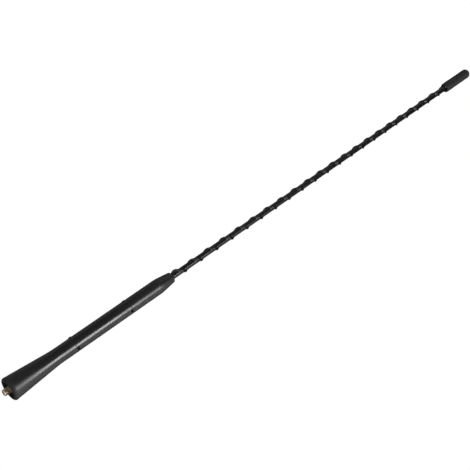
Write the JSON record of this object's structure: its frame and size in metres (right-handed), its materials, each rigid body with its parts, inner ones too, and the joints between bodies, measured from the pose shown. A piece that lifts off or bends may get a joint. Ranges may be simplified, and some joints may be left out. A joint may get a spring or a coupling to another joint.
{
  "type": "car mast aerial",
  "caption": "Screw-in car roof mast: a flared moulded foot with a threaded brass stud in its recess, a thin whip with a spiral ridge, and a rounded cap.",
  "frame": {"origin": "on the mast's axis in the plane of the foot's rim, which seats on the roof base", "axes": "+Z along the mast towards its tip; the threaded stud points along -Z; +X and +Y are square to the mast, and the picture is seen from the -Y side"},
  "size_m": [0.0134, 0.0134, 0.403],
  "materials": {
    "stud_brass": "turned brass, bright thread",
    "spring_steel": "drawn spring wire",
    "solder": "dull tin solder",
    "fibreglass": "drawn glass fibre in clear resin",
    "enamelled_copper": "clear enamel on copper wire",
    "jacket_plastic": "satin black jacket",
    "foot_plastic": "satin black moulding with fine grain",
    "cap_plastic": "matt black moulding"
  },
  "bodies": {
    "root": {"threaded_stud": "stud_brass", "coupling_spring": "spring_steel", "rod_ferrule": "stud_brass", "solder_joint": "solder", "fibreglass_rod": "fibreglass", "loading_coil": "enamelled_copper", "antenna_wire": "enamelled_copper", "mast_jacket": "jacket_plastic", "base_sleeve": "foot_plastic", "end_cap": "cap_plastic"}
  },
  "joints": []
}
